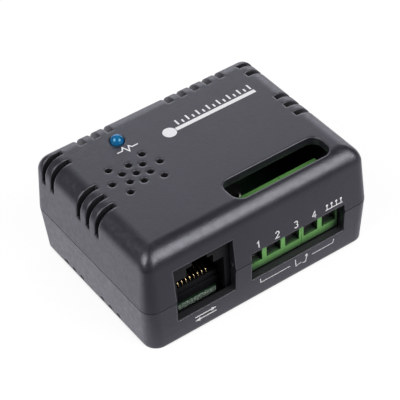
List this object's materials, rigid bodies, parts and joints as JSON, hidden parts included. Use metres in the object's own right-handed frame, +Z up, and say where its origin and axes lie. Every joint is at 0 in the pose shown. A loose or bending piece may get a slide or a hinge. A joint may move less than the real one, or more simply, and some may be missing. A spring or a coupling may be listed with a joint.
{
  "type": "rack temperature sensor",
  "caption": "Small vented two-part plastic box that senses rack temperature and humidity, with a data jack, a strip of screw terminals and a status lamp.",
  "frame": {"origin": "middle of the underside, on the surface that it stands on", "axes": "+Z up through the roof, -Y out of the face with the jack and the terminals, +X to the right seen from that face"},
  "size_m": [0.0586, 0.045, 0.0276],
  "materials": {
    "case_plastic": "fine spark-eroded texture, dark grey with a slight violet tint",
    "screw_steel": "zinc plated",
    "board_laminate": "glass-epoxy laminate with green solder resist, pale routed edge",
    "jack_plastic": "moulded black",
    "contact_gold": "gold plated",
    "terminal_plastic": "moulded bright green",
    "clamp_metal": "nickel plated",
    "lamp_lens": "clear tinted blue",
    "lead_metal": "tin plated",
    "spacer_plastic": "moulded black",
    "chip_plastic": "moulded black epoxy",
    "isolator_plastic": "moulded white",
    "can_metal": "drawn metal can",
    "resistor_ceramic": "glazed ceramic, dark",
    "capacitor_ceramic": "fired ceramic, tan"
  },
  "bodies": {
    "root": {"upper_cover": "case_plastic", "lower_cover": "case_plastic", "case_screws": "screw_steel", "circuit_board": "board_laminate", "board_screws": "screw_steel", "jack_housing": "jack_plastic", "jack_contact_insert": "jack_plastic", "jack_contacts": "contact_gold", "terminal_housing_three_way": "terminal_plastic", "terminal_housing_two_way": "terminal_plastic", "terminal_screws": "screw_steel", "wire_clamps": "clamp_metal", "terminal_pins": "lead_metal", "status_led": "lamp_lens", "led_leads": "lead_metal", "led_spacer": "spacer_plastic", "humidity_temperature_sensor": "chip_plastic", "microcontroller": "chip_plastic", "microcontroller_leads": "lead_metal", "line_driver": "chip_plastic", "line_driver_leads": "lead_metal", "input_isolators": "isolator_plastic", "isolator_leads": "lead_metal", "voltage_regulator": "chip_plastic", "regulator_leads": "lead_metal", "crystal_can": "can_metal", "electrolytic_capacitor": "can_metal", "capacitor_base": "chip_plastic", "chip_resistors": "resistor_ceramic", "chip_capacitors": "capacitor_ceramic"}
  },
  "joints": []
}
